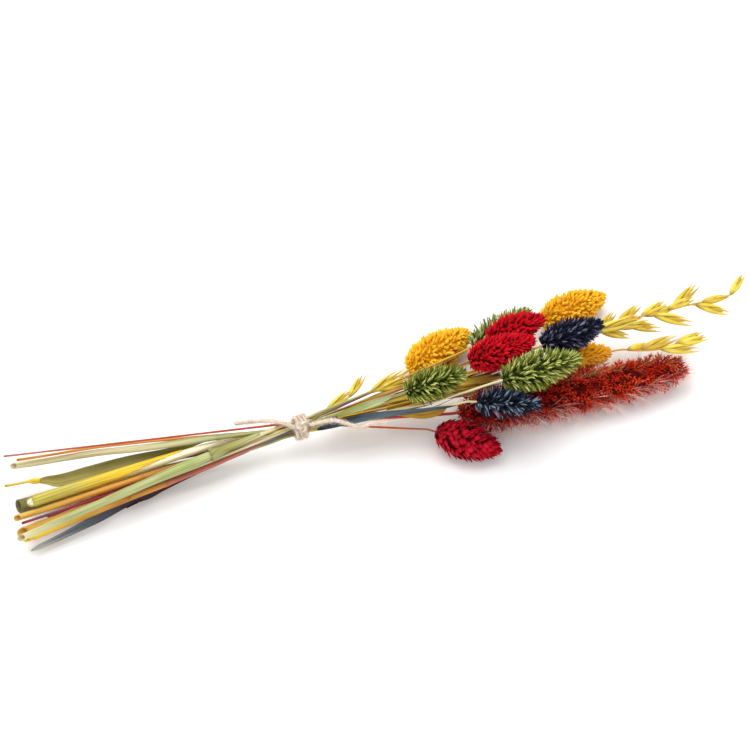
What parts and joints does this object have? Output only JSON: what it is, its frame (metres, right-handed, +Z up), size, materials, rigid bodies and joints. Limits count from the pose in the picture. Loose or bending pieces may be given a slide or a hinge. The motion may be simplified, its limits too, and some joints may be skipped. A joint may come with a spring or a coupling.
{
  "type": "dried flower bouquet",
  "caption": "Tied bunch of dried, dyed grasses lying on its side: scaly canary grass heads, a long foxtail, oat sprays, loose leaves and bare stems in a jute twine tie.",
  "frame": {"origin": "on the surface that the bunch lies on, under the middle of its box", "axes": "+X along the bunch from the cut ends to the heads, +Y across it towards the back, +Z up from the surface"},
  "size_m": [0.408, 0.0851, 0.0503],
  "materials": {
    "head_yellow": "matte",
    "head_green": "matte",
    "head_red": "matte",
    "head_crimson": "matte",
    "head_navy": "matte",
    "foxtail_rust": "matte",
    "oat": "satin",
    "straw_orange": "satin",
    "straw_green": "satin",
    "straw_cream": "satin",
    "stem_red": "satin",
    "stem_navy": "satin",
    "stem_rust": "satin",
    "leaf_sage": "matte",
    "leaf_navy": "matte",
    "leaf_gold": "matte",
    "leaf_olive": "matte",
    "twine": "matte"
  },
  "bodies": {
    "root": {"yellow_head_a": "head_yellow", "yellow_head_b": "head_yellow", "yellow_head_c": "head_yellow", "green_head_a": "head_green", "green_head_b": "head_green", "green_head_c": "head_green", "red_head_a": "head_red", "red_head_b": "head_red", "red_head_c": "head_crimson", "navy_head_a": "head_navy", "navy_head_b": "head_navy", "foxtail_head": "foxtail_rust", "oat_spray_upper": "oat", "oat_spray_lower": "oat", "oat_spikelet_low_a": "oat", "oat_spikelet_low_b": "oat", "yellow_stem_a": "straw_orange", "yellow_stem_b": "straw_orange", "yellow_stem_c": "straw_orange", "yellow_twig": "straw_orange", "green_stem_a": "straw_green", "green_stem_b": "straw_cream", "green_stem_c": "straw_cream", "red_stem_a": "stem_red", "red_stem_b": "stem_red", "red_stem_c": "stem_red", "navy_stem_a": "stem_navy", "navy_stem_b": "stem_navy", "foxtail_stem": "stem_rust", "sage_leaf": "leaf_sage", "navy_leaf_upper": "leaf_navy", "navy_leaf_low": "leaf_navy", "gold_leaf_low": "leaf_gold", "olive_leaf_mid": "leaf_olive", "olive_leaf_low": "leaf_olive", "twine_coil": "twine", "twine_knot": "twine", "twine_tail_left": "twine", "twine_tail_right": "twine"}
  },
  "joints": []
}
